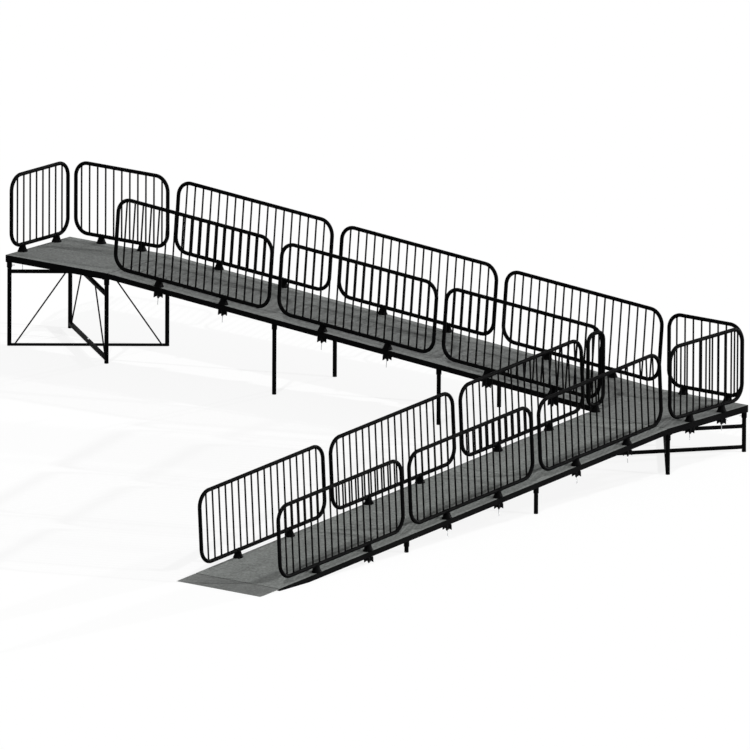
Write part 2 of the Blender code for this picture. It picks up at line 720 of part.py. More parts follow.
def build_landings():
    top_rails = [
        ("top_back", RAIL_5FT, rail_place(TOP_LENGTH, DECK_WIDTH, "back", TOP_LENGTH - TOP_BACK_FROM_RAMP),
         HOOP_CORNER),
        ("top_left", RAIL_4FT, rail_place(TOP_LENGTH, DECK_WIDTH, "left", TOP_LEFT_CENTRE),
         HOOP_CORNER),
    ]
    mid_rails = [
        ("mid_back", RAIL_4FT, rail_place(MID_WIDTH, MID_LENGTH, "back", MID_BACK_CENTRE),
         HOOP_CORNER),
        ("mid_right", RAIL_5FT, rail_place(MID_WIDTH, MID_LENGTH, "right", MID_RIGHT_CENTRE),
         HOOP_CORNER),
        ("mid_short", RAIL_1FT, rail_place(MID_WIDTH, MID_LENGTH, "left", MID_SHORT_CENTRE),
         SHORT_CORNER),
    ]
    top = landing("top_landing", TOP_LENGTH, DECK_WIDTH, 3, 2,
                  Matrix.Translation((-TOP_LENGTH, 0, TOP_LEVEL)), stud_points(top_rails))
    mid = landing("mid_landing", MID_WIDTH, MID_LENGTH, 2, 3,
                  Matrix.Translation((UPPER_RUN, -MID_STEP_OUT, MID_LEVEL)),
                  stud_points(mid_rails))
    landing_rails(top_rails, top)
    landing_rails(mid_rails, mid)
    riser("top_riser", (-TOP_LENGTH, 0), TOP_LENGTH, DECK_WIDTH, TOP_LEVEL, TOP_BAR_DROPS, 1, True)
    riser("mid_riser", (UPPER_RUN, -MID_STEP_OUT), MID_WIDTH, MID_LENGTH, MID_LEVEL,
          MID_BAR_DROPS, -1, False)


def ground_room(place, fall, middle, sense):
    """For a rail low on the ramp: how far under the deck the ground lies at a clamp."""
    start = place.translation.z

    def room(x):
        level = start - (middle + sense * x) * math.sin(fall)
        return level / math.cos(fall) - KNOB_RADIUS * math.tan(fall)
    return room


def build_ramp(name, sides, origin, heading, fall, level, foot):
    """Three sections in line, with their legs and one guard rail on each side of each."""
    places, length = section_places(origin, heading, fall, level)
    rail = rail_mesh(name + "_rail", RAIL_8FT, RAMP_DEPTH, True)
    edges = [rail_place(length, DECK_WIDTH, edge, length / 2) for edge in ("front", "back")]
    points = stud_points([("", RAIL_8FT, edge, 0) for edge in edges])
    for k, place in enumerate(places):
        number = k + 1
        last = foot and number == SECTIONS
        knuckles = None
        if last:
            axis = (length + HINGE_REACH, -HINGE_DEPTH)
            knuckles = (knuckle_shapes(0, -HINGE_REACH - WEB_BITE, *axis), [pin_bore(*axis)])
        module = section(f"{name}_ramp_{number}", place, length, fall, k > 0, points, last,
                         knuckles)
        for side, label in enumerate(sides):
            node = f"rail_{name}_{label}_{number}"
            mesh = rail
            if last:
                room = ground_room(place, fall, length / 2, (1, -1)[side])
                mesh = rail_mesh(node, RAIL_8FT, RAMP_DEPTH, True, room=room)
            add_piece(node, mesh, "frame_black", module, edges[side])
            if k > 0:
                ramp_leg(f"leg_{name}_{label}_{number}", place, side, fall)
    if foot:
        approach(places[-1], length)


clear_scene()
RAMP = new_collection("access_ramp")
CUTTERS = new_collection("cutters")
SITE = add_empty("site", None, Matrix.Translation((-CENTRE_X, -CENTRE_Y, 0)))
KNOB = knob_mesh()
build_landings()
build_ramp("upper", ("front", "back"), (0, 0), 0.0, TOP_FALL, TOP_LEVEL, False)
build_ramp("lower", ("left", "right"), (UPPER_RUN, -MID_STEP_OUT), math.radians(-90), MID_FALL,
           MID_LEVEL, True)
bpy.context.view_layer.update()
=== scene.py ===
import json
import math

import bmesh
import bpy
from mathutils import Matrix, Vector


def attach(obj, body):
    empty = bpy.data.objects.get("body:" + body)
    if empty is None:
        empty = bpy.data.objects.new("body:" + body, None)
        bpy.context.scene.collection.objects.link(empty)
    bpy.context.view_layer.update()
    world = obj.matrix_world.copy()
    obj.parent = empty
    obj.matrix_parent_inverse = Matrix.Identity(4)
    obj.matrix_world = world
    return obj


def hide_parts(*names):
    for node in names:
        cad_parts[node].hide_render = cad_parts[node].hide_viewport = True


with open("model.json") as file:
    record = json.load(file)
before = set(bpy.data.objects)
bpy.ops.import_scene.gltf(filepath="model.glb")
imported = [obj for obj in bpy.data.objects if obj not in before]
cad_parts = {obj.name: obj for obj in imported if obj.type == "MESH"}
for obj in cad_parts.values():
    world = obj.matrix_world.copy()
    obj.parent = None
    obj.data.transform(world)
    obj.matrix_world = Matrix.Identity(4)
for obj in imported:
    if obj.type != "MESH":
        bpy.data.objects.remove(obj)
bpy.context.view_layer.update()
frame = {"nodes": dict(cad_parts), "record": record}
scene = bpy.context.scene
bodyOf = {node: body for body, nodes in frame["record"]["behaviour"]["bodies"].items() for node in nodes}


# Layout of the ramp in inches: x along the upper ramp, y across it, z up from the ground
inch = 0.0254
site = dict(
    topLevel=43.16, midLevel=21.95, deckWidth=48.0, topLength=60.0, midLength=60.0,
    midBackStep=0.3, sectionRun=96.0, sections=3, approachRun=14.1, tip=0.06,
    rampDepth=2.65, landingDepth=3.1, padThickness=0.25, gap=0.0003 / inch,
    railInset=1.5, footOverhang=0.875)

deckWidth, topLength, midLength = site["deckWidth"], site["topLength"], site["midLength"]
upperRun = site["sectionRun"] * site["sections"]
lowerRun = upperRun + site["approachRun"]
midBack = deckWidth + site["midBackStep"]
midStep = midLength - midBack
topFall = math.atan2(site["topLevel"] - site["midLevel"], upperRun)
midFall = math.atan2(site["midLevel"] - site["tip"], lowerRun)
middleX = (upperRun + deckWidth - topLength) / 2
middleY = (midBack + site["footOverhang"] - midStep - lowerRun) / 2
toFrame = Matrix.Scale(inch, 4) @ Matrix.Translation((-middleX, -middleY, 0))


def move(x=0.0, y=0.0, z=0.0):
    return Matrix.Translation((x, y, z))


def turn(degrees, axis="Z"):
    return Matrix.Rotation(math.radians(degrees), 4, axis)


def sectionPlaces(corner, heading, fall, level):
    start = site["rampDepth"] * math.sin(fall) + site["gap"]
    pitch = (upperRun - site["gap"] - start) / math.cos(fall) / site["sections"]
    lie = turn(heading) @ Matrix.Rotation(fall, 4, "Y")
    forward = lie.to_3x3() @ Vector((1, 0, 0))
    first = Vector((*corner, level)) + forward * (start / math.cos(fall))
    places = [Matrix.Translation(first + forward * pitch * k) @ lie for k in range(site["sections"])]
    return places, pitch - site["gap"]


def railPlace(base, length, width, side, centre):
    inset = site["railInset"]
    spot, quarter = {
        "front": ((centre, inset), 0), "back": ((centre, width - inset), 180),
        "left": ((inset, centre), -90), "right": ((length - inset, centre), 90)}[side]
    return base @ move(*spot) @ turn(quarter)


# Shader maths written as expressions
class Wire:
    def __init__(self, tree, socket):
        self.tree, self.socket = tree, socket

    def step(self, operation, first, second):
        node = self.tree.nodes.new("ShaderNodeMath")
        node.operation = operation
        for slot, value in zip(node.inputs, (first, second)):
            plug(self.tree, slot, value)
        return Wire(self.tree, node.outputs[0])

    def __add__(self, other):
        return self.step("ADD", self, other)

    def __mul__(self, other):
        return self.step("MULTIPLY", self, other)

    def __rsub__(self, other):
        return self.step("SUBTRACT", other, self)

    def __gt__(self, other):
        return self.step("GREATER_THAN", self, other)

    def __lt__(self, other):
        return self.step("LESS_THAN", self, other)

    __radd__ = __add__
    __rmul__ = __mul__


def plug(tree, slot, value):
    if isinstance(value, Wire):
        tree.links.new(value.socket, slot)
    elif isinstance(value, (tuple, list)) and len(value) == 3 and slot.type == "RGBA":
        slot.default_value = (*value, 1.0)
    else:
        slot.default_value = value


def times(colour, factor):
    return tuple(channel * factor for channel in colour)


class Finish:
    def __init__(self, name, **constants):
        self.material = bpy.data.materials.new(name)
        self.material.use_nodes = True
        self.tree = self.material.node_tree
        self.shader = self.tree.nodes["Principled BSDF"]
        self.feed(**constants)
        self.place = self.node("ShaderNodeTexCoord", output="Object")

    # type, settings that are set first, and the values or links of its sockets; n3 is socket 3
    def node(self, kind, settings=None, output=0, **sockets):
        node = self.tree.nodes.new(kind)
        for key, value in (settings or {}).items():
            setattr(node, key, value)
        for key, value in sockets.items():
            name = int(key[1:]) if key[1:].isdigit() else key.replace("_", " ")
            plug(self.tree, node.inputs[name], value)
        return Wire(self.tree, node.outputs[output])

    def stretch(self, x, y, z):
        return self.node("ShaderNodeMapping", Vector=self.place, Scale=(x, y, z))

    def noise(self, scale, detail, roughness, where=None):
        return self.node("ShaderNodeTexNoise", output="Fac", Vector=where or self.place,
                         Scale=scale, Detail=detail, Roughness=roughness)

    def level(self, value, low, high, outLow=0.0, outHigh=1.0):
        return self.node("ShaderNodeMapRange", Value=value, n1=low, n2=high, n3=outLow, n4=outHigh)

    def vary(self, noise, low=0.0, high=1.0):   # most of a noise lies from 0.3 to 0.7
        return self.level(noise, 0.3, 0.7, low, high)

    def blend(self, amount, first, second):
        return self.node("ShaderNodeMix", {"data_type": "RGBA"}, output=2, n0=amount, n6=first, n7=second)

    def scaled(self, colour, amount):
        return self.node("ShaderNodeVectorMath", {"operation": "SCALE"}, n0=colour, Scale=amount)

    def facing(self, axis):
        normal = self.node("ShaderNodeNewGeometry", output="Normal")
        return self.node("ShaderNodeSeparateXYZ", output=axis, Vector=normal)

    def height(self, value, distance, strength):
        self.feed(Normal=self.node("ShaderNodeBump", Height=value, Distance=distance, Strength=strength))

    def feed(self, **links):
        for key, value in links.items():
            plug(self.tree, self.shader.inputs[key.replace("_", " ")], value)


# In the finishes below, a noise is its scale, detail and roughness, and a bump its distance and strength

# Powder coat of the rails, deck frames and risers
coat = dict(
    dark=(0.0008, 0.0008, 0.0009), light=(0.002, 0.002, 0.0021), dust=(0.006, 0.006, 0.0057),
    specular=0.012, roughness=(0.46, 0.62), cloud=(3.2, 4.0, 0.55), peel=(900.0, 2.0, 0.5),
    scuff=(14.0, 8.0, 0.75), scuffRun=(1.0, 1.0, 0.35), scuffs=0.55, settled=0.3,
    bump=(0.00006, 0.5))


def powderCoat(name="powderCoat"):
    finish = Finish(name, Specular_IOR_Level=coat["specular"])
    cloud = finish.noise(*coat["cloud"])
    peel = finish.noise(*coat["peel"])
    scuff = finish.noise(*coat["scuff"], finish.stretch(*coat["scuffRun"]))
    marks = finish.level(scuff, 0.66, 0.74, 0.0, coat["scuffs"])
    up = finish.level(finish.facing("Z"), 0.55, 1.0, 0.0, coat["settled"])   # dust on what faces up
    colour = finish.blend(finish.level(cloud, 0.35, 0.65), coat["dark"], coat["light"])
    finish.feed(Base_Color=finish.blend(marks + up * cloud, colour, coat["dust"]),
                Roughness=finish.level(cloud + peel * 0.25, 0.3, 0.9, *coat["roughness"]))
    finish.height(peel * 0.8 + scuff * 0.2, *coat["bump"])
    return finish


# Gritty grey top coat of a deck panel: a colour for each run, and how its streaks are stretched. The greys
# differ by run as painted light: the lower run's lighter grey stands in for more lamp light falling on
# that run
deckCoat = dict(
    grit=(620.0, 3.0, 0.6), grains=496.0, mottle=(5.5, 6.0, 0.62), blotch=(34.0, 3.0, 0.7),
    streak=(9.0, 5.0, 0.6), rub=(2.1, 7.0, 0.7), film=(24.0, 5.0, 0.5), edge=(0.012, 0.011, 0.010),
    under=(0.030, 0.022, 0.016), specular=0.22, roughness=(0.66, 0.86), bump=(0.0005, 0.45),
    runs=dict(landing=((0.141, 0.148, 0.143), (1.0, 1.0, 1.0)),
              upper=((0.136, 0.142, 0.138), (0.12, 1.0, 1.0)),
              # painted light: this lighter grey stands in for the brighter light that falls on the lower
              # run
              lower=((0.182, 0.192, 0.184), (1.0, 0.12, 1.0))))


def deckSurface(run):
    base, along = deckCoat["runs"][run]
    finish = Finish("deckSurface_" + run, Specular_IOR_Level=deckCoat["specular"])
    grit, mottle, blotch = (finish.noise(*deckCoat[key]) for key in ("grit", "mottle", "blotch"))
    streak, rub = (finish.noise(*deckCoat[key], finish.stretch(*along)) for key in ("streak", "rub"))
    grains = finish.node("ShaderNodeTexVoronoi", output="Distance", Vector=finish.place,
                         Scale=deckCoat["grains"])
    shade = finish.vary(mottle * 0.55 + streak * 0.45, 0.82, 1.16)
    speckle = finish.vary(grit, 0.9, 1.1) * finish.vary(blotch, 0.6, 1.4)
    tone = finish.scaled(base, shade * speckle)
    tone = finish.blend(finish.level(rub, 0.56, 0.72, 0.0, 0.3), tone, times(base, 1.3))
    up = finish.facing("Z")
    colour = finish.blend(up > 0.5, deckCoat["edge"], tone)
    below = finish.blend(finish.noise(*deckCoat["film"]), deckCoat["under"], times(deckCoat["under"], 1.7))
    colour = finish.blend(up < -0.5, colour, below)   # the brown film under the panel
    finish.feed(Base_Color=colour, Roughness=finish.vary(grit, *deckCoat["roughness"]))
    finish.height(grit * 0.6 + (1.0 - grains) * 0.5, *deckCoat["bump"])
    return finish.material


# Approach plate: dull grey metal with a fine grit, worn bright in spots
plateCoat = dict(
    base=(0.118, 0.124, 0.119), worn=(0.22, 0.225, 0.22), specular=0.25, roughness=(0.5, 0.72),
    grit=(520.0, 3.0, 0.6), mottle=(6.0, 6.0, 0.6), blotch=(34.0, 3.0, 0.7),
    lines=(30.0, 4.0, 0.6), lineRun=(1.0, 0.06, 1.0), bump=(0.0004, 0.4))


def plateSurface():
    finish = Finish("plateSurface", Specular_IOR_Level=plateCoat["specular"])
    grit, mottle, blotch = (finish.noise(*plateCoat[key]) for key in ("grit", "mottle", "blotch"))
    lines = finish.noise(*plateCoat["lines"], finish.stretch(*plateCoat["lineRun"]))
    shade = finish.level(mottle + lines * 0.5, 0.45, 1.05, 0.86, 1.14)
    tone = finish.scaled(plateCoat["base"], shade * finish.vary(blotch, 0.65, 1.35))
    wear = finish.level(mottle * grit, 0.28, 0.42, 0.0, 0.35)
    finish.feed(Base_Color=finish.blend(wear, tone, plateCoat["worn"]), Metallic=wear * 0.6,
                Roughness=finish.vary(grit, *plateCoat["roughness"]))
    finish.height(grit + lines * 0.3, *plateCoat["bump"])
    return finish.material


# Zinc plating of studs, bolts and lock pins, with the rings of a thread as bump
zincCoat = dict(
    pale=(0.62, 0.63, 0.64), dull=(0.38, 0.39, 0.40), spangle=(180.0, 5.0, 0.6), haze=(45.0, 4.0, 0.5),
    metallic=(0.78, 0.95), roughness=(0.28, 0.48), bump=(0.00005, 0.4), threadBump=(0.0009, 0.9),
    pitch=0.1 * inch)


def zinc(threaded):
    finish = Finish("zincThread" if threaded else "zincPlate")
    spangle = finish.noise(*zincCoat["spangle"])
    finish.feed(Base_Color=finish.blend(finish.vary(spangle), zincCoat["dull"], zincCoat["pale"]),
                Metallic=finish.vary(spangle, *zincCoat["metallic"]),
                Roughness=finish.vary(finish.noise(*zincCoat["haze"]), *zincCoat["roughness"]))
    if threaded:   # a wave of scale 1 repeats every pi / 10 metres
        rings = finish.node("ShaderNodeTexWave", {"bands_direction": "Z", "wave_profile": "TRI"},
                            output="Fac", Vector=finish.place, Scale=math.pi / 10 / zincCoat["pitch"])
        finish.height(rings + spangle * 0.1, *zincCoat["threadBump"])
    else:
        finish.height(spangle, *zincCoat["bump"])
    return finish.material


# Moulded plastic of the star knobs, and the rubber of the leg tips
moulded = dict(
    cloud=(12.0, 4.0, 0.5), pale=2.2, bump=(0.00012, 0.5),
    knobPlastic=dict(base=(0.0008, 0.0008, 0.0009), specular=0.03, grain=(420.0, 3.0, 0.6),
                     roughness=(0.4, 0.55)),
    legRubber=dict(base=(0.0022, 0.0022, 0.0023), specular=0.04, grain=(260.0, 3.0, 0.6),
                   roughness=(0.7, 0.9)))


def mouldedFinish(name):
    kind = moulded[name]
    finish = Finish(name, Specular_IOR_Level=kind["specular"])
    grain = finish.noise(*kind["grain"])
    cloud = finish.vary(finish.noise(*moulded["cloud"]))
    finish.feed(Base_Color=finish.blend(cloud, kind["base"], times(kind["base"], moulded["pale"])),
                Roughness=finish.vary(grain, *kind["roughness"]))
    finish.height(grain, *moulded["bump"])
    return finish.material


# Deck frames: the powder coat, with the deck's grey rolled over the lips that face up
lipCoat = dict(grey=(0.135, 0.141, 0.137), shades=(0.75, 1.2), blotch=(34.0, 3.0, 0.7), facing=0.96)


def frameCoat():
    finish = powderCoat("frameCoat")
    black = Wire(finish.tree, finish.shader.inputs["Base Color"].links[0].from_socket)
    dark, pale = (times(lipCoat["grey"], shade) for shade in lipCoat["shades"])
    lips = finish.blend(finish.noise(*lipCoat["blotch"]), dark, pale)
    finish.feed(Base_Color=finish.blend(finish.facing("Z") > lipCoat["facing"], black, lips))
    return finish


finishes = {
    "coat": powderCoat().material, "frame": frameCoat().material,
    "deckLanding": deckSurface("landing"), "deckUpper": deckSurface("upper"),
    "deckLower": deckSurface("lower"), "plate": plateSurface(), "thread": zinc(True),
    "zinc": zinc(False), "knob": mouldedFinish("knobPlastic"), "rubber": mouldedFinish("legRubber")}
print("finishes:", len(finishes))


# Finishes of the CAD nodes that stay
def dress(node, finish):
    mesh = frame["nodes"][node].data
    mesh.materials.clear()
    mesh.materials.append(finishes[finish])


for node in frame["nodes"]:
    if node.endswith("_deck"):
        run = "Upper" if node.startswith("upper") else "Lower" if node.startswith("lower") else "Landing"
        dress(node, "deck" + run)
    elif node == "approach_plate":
        dress(node, "plate")
    elif node == "approach_hinge_pin" or node.endswith("_bolt"):
        dress(node, "zinc")
    elif node.startswith("knob_"):
        dress(node, "knob")
    elif "_ramp_" in node or node.endswith("landing_frame"):
        dress(node, "frame")
    else:
        dress(node, "coat")


# Shapes added to a bmesh, in inches
def only(kind, items):
    return [item for item in items if isinstance(item, kind)]


def edgesOf(verts):
    return list({edge for vert in verts for edge in vert.link_edges})


def bevel(bm, geom, width, segments=1):
    bmesh.ops.bevel(bm, geom=geom, offset=width, offset_type="OFFSET", segments=segments, profile=0.5,
                    affect="EDGES", clamp_overlap=True, material=-1)


def box(bm, x, y, z, place=Matrix.Identity(4), rounding=0.0, segments=1):
    size = (x[1] - x[0], y[1] - y[0], z[1] - z[0])
    middle = ((x[0] + x[1]) / 2, (y[0] + y[1]) / 2, (z[0] + z[1]) / 2)
    verts = bmesh.ops.create_cube(
        bm, size=1.0, matrix=place @ move(*middle) @ Matrix.Diagonal((*size, 1.0)))["verts"]
    if rounding:
        bevel(bm, verts + edgesOf(verts), rounding, segments)


def cone(bm, place, lowRadius, highRadius, height, sides):
    return bmesh.ops.create_cone(bm, cap_ends=True, segments=sides, radius1=lowRadius,
                                 radius2=highRadius, depth=height, matrix=place)["verts"]


def rod(bm, start, end, radius, sides, place):
    run = Vector(end) - Vector(start)
    lie = Vector((0, 0, 1)).rotation_difference(run).to_matrix().to_4x4()
    cone(bm, place @ Matrix.Translation(start) @ lie @ move(z=run.length / 2), radius, radius,
         run.length, sides)


# Points of a profile, given as steps out from a radius and up from a level
def around(steps, radius, level=0.0):
    return [(radius + out, level + up) for out, up in steps]


latheMerge = 0.0005   # vertices of a lathe that lie this close become one


# A profile spun about Z: closed on the axis, or into a ring
def lathe(bm, profile, sides, place=Matrix.Identity(4), ring=False):
    points = profile if ring else [(0, profile[0][1]), *profile, (0, profile[-1][1])]
    verts = [bm.verts.new((radius, 0, z)) for radius, z in points]
    pairs = list(zip(verts, verts[1:])) + ([(verts[-1], verts[0])] if ring else [])
    edges = [bm.edges.new(pair) for pair in pairs]
    before = set(bm.verts) - set(verts)
    bmesh.ops.spin(bm, geom=verts + edges, cent=(0, 0, 0), axis=(0, 0, 1), angle=math.tau, steps=sides,
                   use_merge=True, use_duplicate=False)
    made = [vert for vert in bm.verts if vert not in before]
    bmesh.ops.remove_doubles(bm, verts=made, dist=latheMerge)
    made = [vert for vert in bm.verts if vert not in before]
    bmesh.ops.transform(bm, matrix=place, verts=made)


# Adds another bmesh to the first and frees it
def joined(bm, other, place=Matrix.Identity(4)):
    mesh = bpy.data.meshes.new("part")
    other.transform(place)
    other.to_mesh(mesh)
    other.free()
    bm.from_mesh(mesh)
    bpy.data.meshes.remove(mesh)


def finishPiece(name, bm, finish, body="ramp", node=None, sharp=32):
    bm.transform(toFrame)
    bmesh.ops.recalc_face_normals(bm, faces=bm.faces[:])
    mesh = bpy.data.meshes.new(name)
    bm.to_mesh(mesh)
    bm.free()
    mesh.materials.append(finishes[finish])
    mesh.shade_smooth()
    mesh.set_sharp_from_angle(angle=math.radians(sharp))
    piece = bpy.data.objects.new(name, mesh)
    scene.collection.objects.link(piece)
    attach(piece, bodyOf[node] if node else body)
    if node:
        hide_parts(node)


# Guard rails: a bent tube hoop with square bars. A kind is its number of bars, the gap from the last
# bar to the end tube, the distance between its clamps and its bend
rail = dict(
    tube=0.9, sides=24, low=3.4, high=36.9, bendSteps=20, bar=0.62, pitch=4.75, barBite=0.2,
    barRounding=0.05, merge=0.001,
    kinds=dict(long=(18, 4.86, 38.0, 7.0), five=(11, 3.39, 24.0, 7.0), four=(8, 4.46, 25.4, 7.0),
               short=(2, 3.38, 0.0, 4.2)))


def clampSpots(spread):
    return (-spread / 2, spread / 2) if spread else (0.0,)


def hoop(bm, span, bend):
    low, high, half = rail["low"], rail["high"], span / 2
    ring = bmesh.ops.create_circle(bm, cap_ends=False, segments=rail["sides"], radius=rail["tube"],
                                   matrix=move(bend - half, 0, low) @ turn(90, "Y"))["verts"]
    edges = edgesOf(ring)
    wide, tall = span - 2 * bend, high - low - 2 * bend
    runs = (((wide, 0, 0), (half - bend, 0, low + bend)),
            ((0, 0, tall), (half - bend, 0, high - bend)),
            ((-wide, 0, 0), (bend - half, 0, high - bend)),
            ((0, 0, -tall), (bend - half, 0, low + bend)))
    for run, cent in runs:   # a straight tube, then the bend at its end
        pushed = bmesh.ops.extrude_edge_only(bm, edges=edges)["geom"]
        verts = only(bmesh.types.BMVert, pushed)
        bmesh.ops.translate(bm, verts=verts, vec=run)
        edges = only(bmesh.types.BMEdge, pushed)
        last = bmesh.ops.spin(bm, geom=verts + edges, cent=cent, axis=(0, -1, 0), angle=math.pi / 2,
                              steps=rail["bendSteps"], use_merge=False, use_duplicate=False)["geom_last"]
        edges = only(bmesh.types.BMEdge, last)
    bmesh.ops.remove_doubles(bm, verts=bm.verts[:], dist=rail["merge"])


def archHeight(x, span, bend):
    over = min(max(abs(x) - (span / 2 - bend), 0.0), bend)
    return rail["high"] - bend + math.sqrt(bend ** 2 - over ** 2)


# The weld bead at each end of a bar: radii as shares of half the bar, and how it sits on the tube
bead = dict(sides=8, wide=1.42, leg=0.16, narrow=1.3, height=0.3, sink=0.1, lift=0.06, steepest=0.35)


def uprights(bm, count, span, bend):
    half, bite = rail["bar"] / 2, rail["barBite"]
    bars, beads = bmesh.new(), bmesh.new()
    for k in range(count):
        x = (k - (count - 1) / 2) * rail["pitch"]
        top = archHeight(x, span, bend)
        low = rail["low"] + rail["high"] - top
        slope = min(1.0, max(0.0, (abs(x) - (span / 2 - bend)) / bend))
        skin = rail["tube"] / max(bead["steepest"], math.sqrt(1 - slope ** 2))
        box(bars, (x - half, x + half), (-half, half), (low + bite, top - bite))
        for z, tip in ((low + skin - bead["sink"], 1), (top - skin + bead["sink"], -1)):
            lie = move(x, 0, z + tip * bead["lift"]) @ turn(0 if tip > 0 else 180, "X")
            cone(beads, lie @ turn(180 / bead["sides"]), half * bead["wide"] + bead["leg"],
                 half * bead["narrow"], bead["height"], bead["sides"])
    bevel(bars, bars.verts[:] + bars.edges[:], rail["barRounding"])
    for part in (bars, beads):
        joined(bm, part)


# The flared foot of a clamp: its rim from the base, a shallow sweep and the neck under the crown
foot = dict(
    base=2.375, neck=1.5, crownDrop=0.35, sides=32,
    rim=[(-0.09, 0.012), (-0.02, 0.05), (0.0, 0.13), (0.0, 0.25), (-0.03, 0.33), (-0.12, 0.4)],
    sweep=dict(steps=8, inward=0.16, low=0.44, rise=2.1, power=1.3),
    crown=[(0.0, -0.1), (-0.04, -0.03), (-0.12, 0.0)])


def railFoot(bm, place):
    neck, sweep = foot["neck"], foot["sweep"]
    flare = foot["base"] - sweep["inward"] - neck
    profile = around(foot["rim"], foot["base"])
    for step in range(sweep["steps"] + 1):
        part = step / sweep["steps"]
        profile.append((neck + flare * (1 - part) ** sweep["power"], sweep["low"] + sweep["rise"] * part))
    profile += around(foot["crown"], neck, rail["low"] - foot["crownDrop"])
    lathe(bm, profile, foot["sides"], place)


# Two small straps tie the tube to the neck of each foot
strap = dict(ring=[(0.09, -0.22), (0.09, 0.22), (-0.05, 0.22), (-0.05, -0.22)], apart=0.8, sides=20)


def railShape(kind):
    count, endGap, spread, bend = rail["kinds"][kind]
    span = (count - 1) * rail["pitch"] + 2 * endGap
    bm = bmesh.new()
    hoop(bm, span, bend)
    uprights(bm, count, span, bend)
    for x in clampSpots(spread):
        railFoot(bm, move(x))
        for side in (-1, 1):
            lathe(bm, around(strap["ring"], rail["tube"]), strap["sides"],
                  move(x + side * strap["apart"], 0, rail["low"]) @ turn(90, "Y"), True)
    return bm


# Clamp studs and their star knobs
clamp = dict(
    stud=0.16, studSides=12, studTop=1.5, taper=[(0.0, 0.1), (-0.07, 0.0)], reach=8.85, margin=0.12,
    radius=2.3, waist=1.25, height=2.6, notch=0.8, lobes=5, lobeSteps=8, lobePower=1.3, border=0.3,
    sharp=50, rounding=0.09, facing=-51.9, scatter=(37, 23, 11))


def studEnd(depth, room):
    space = room - clamp["margin"]
    fits = space > depth + clamp["height"]
    return (min(clamp["reach"], space) if fits else min(depth, space)), fits


def stud(bm, place, end):
    profile = [(clamp["stud"], clamp["studTop"])] + around(clamp["taper"], clamp["stud"], -end)
    lathe(bm, profile, clamp["studSides"], place)


def lobe(spot):   # 0 at a notch, 1 at the tip of a lobe
    return (0.5 + 0.5 * math.cos(math.atan2(spot.y, spot.x) * clamp["lobes"])) ** clamp["lobePower"]


def starKnob(bm, place, depth, spin):
    knob = bmesh.new()
    rim = bmesh.ops.create_circle(knob, cap_ends=True, segments=clamp["lobes"] * clamp["lobeSteps"],
                                  radius=1.0)["verts"]
    for vert in rim:
        vert.co *= clamp["waist"] + (clamp["radius"] - clamp["waist"]) * lobe(vert.co)
    bmesh.ops.inset_region(knob, faces=knob.faces[:], thickness=clamp["border"], depth=0.0,
                           use_even_offset=True)
    pushed = bmesh.ops.extrude_face_region(knob, geom=knob.faces[:])["geom"]
    for vert in only(bmesh.types.BMVert, pushed):   # the underside runs down towards each tip
        reach = min(1.0, vert.co.to_2d().length / clamp["waist"])
        vert.co.z = -clamp["height"] + clamp["notch"] * (1 - lobe(vert.co) * reach)
    bmesh.ops.recalc_face_normals(knob, faces=knob.faces[:])
    corners = [edge for edge in knob.edges if len(edge.link_faces) == 2
               and edge.calc_face_angle() > math.radians(clamp["sharp"])]
    bevel(knob, corners, clamp["rounding"], 2)
    joined(bm, knob, place @ move(z=-depth - site["gap"]) @ turn(spin))


# The landing rails: name, kind, landing, its size, the edge and the rail's middle along that edge
topBase = move(-topLength, 0, site["topLevel"])
midBase = move(upperRun, -midStep, site["midLevel"])
landingRails = [
    ("top_back", "five", topBase, topLength, deckWidth, "back", topLength - 28.2),
    ("top_left", "four", topBase, topLength, deckWidth, "left", 23.5),
    ("mid_back", "four", midBase, deckWidth, midLength, "back", 24.4),
    ("mid_right", "five", midBase, deckWidth, midLength, "right", 29.9),
    ("mid_short", "short", midBase, deckWidth, midLength, "left", 5.65)]

# Every rail: name, kind, place and whether it stands on a ramp section
rails = [(name, kind, railPlace(*seat), False) for name, kind, *seat in landingRails]
upperPlaces, upperLength = sectionPlaces((0, 0), 0, topFall, site["topLevel"])
lowerPlaces, lowerLength = sectionPlaces((upperRun, -midStep), -90, midFall, site["midLevel"])
for k in range(site["sections"]):
    for places, length, run, sides in ((upperPlaces, upperLength, "upper", ("front", "back")),
                                       (lowerPlaces, lowerLength, "lower", ("left", "right"))):
        for side, edge in zip(sides, ("front", "back")):
            rails.append((f"{run}_{side}_{k + 1}", "long",
                          railPlace(places[k], length, deckWidth, edge, length / 2), True))

shapes = {kind: railShape(kind) for kind in rail["kinds"]}
knobCount = 0
knobTurn, knobSpread, knobMiddle = clamp["scatter"]
for name, kind, place, onRamp in rails:
    bm = shapes[kind].copy()
    bm.transform(place)
    finishPiece("guardRail_" + name, bm, "coat", node="rail_" + name)
    studs, knobs = bmesh.new(), bmesh.new()
    spread = rail["kinds"][kind][2]
    depth = site["rampDepth"] if onRamp else site["landingDepth"]
    for number, x in enumerate(clampSpots(spread), 1):
        spot = place @ move(x)
        normal = spot.to_3x3() @ Vector((0, 0, 1))
        room = spot.translation.z / normal.z - clamp["radius"] * math.tan(math.acos(min(1.0, normal.z)))
        end, fits = studEnd(depth, room)
        stud(studs, spot, end)
        heading = math.degrees(math.atan2(spot[1][0], spot[0][0]))
        spin = clamp["facing"] - heading + (knobCount * knobTurn % knobSpread) - knobMiddle
        knobCount += 1
        if onRamp and fits:
            starKnob(knobs, spot, depth, spin)
        elif not onRamp:
            one = bmesh.new()
            starKnob(one, spot, depth, spin)
            knobNode = f"knob_{name}_{number}" if spread else f"knob_{name}"
            finishPiece(f"starKnob_{name}_{number}", one, "knob", node=knobNode, sharp=40)
    finishPiece("clampStud_" + name, studs, "thread")
    if knobs.verts:
        finishPiece("starKnob_" + name, knobs, "knob", sharp=40)
print("guard rails:", len(rails), "with", knobCount, "clamps")


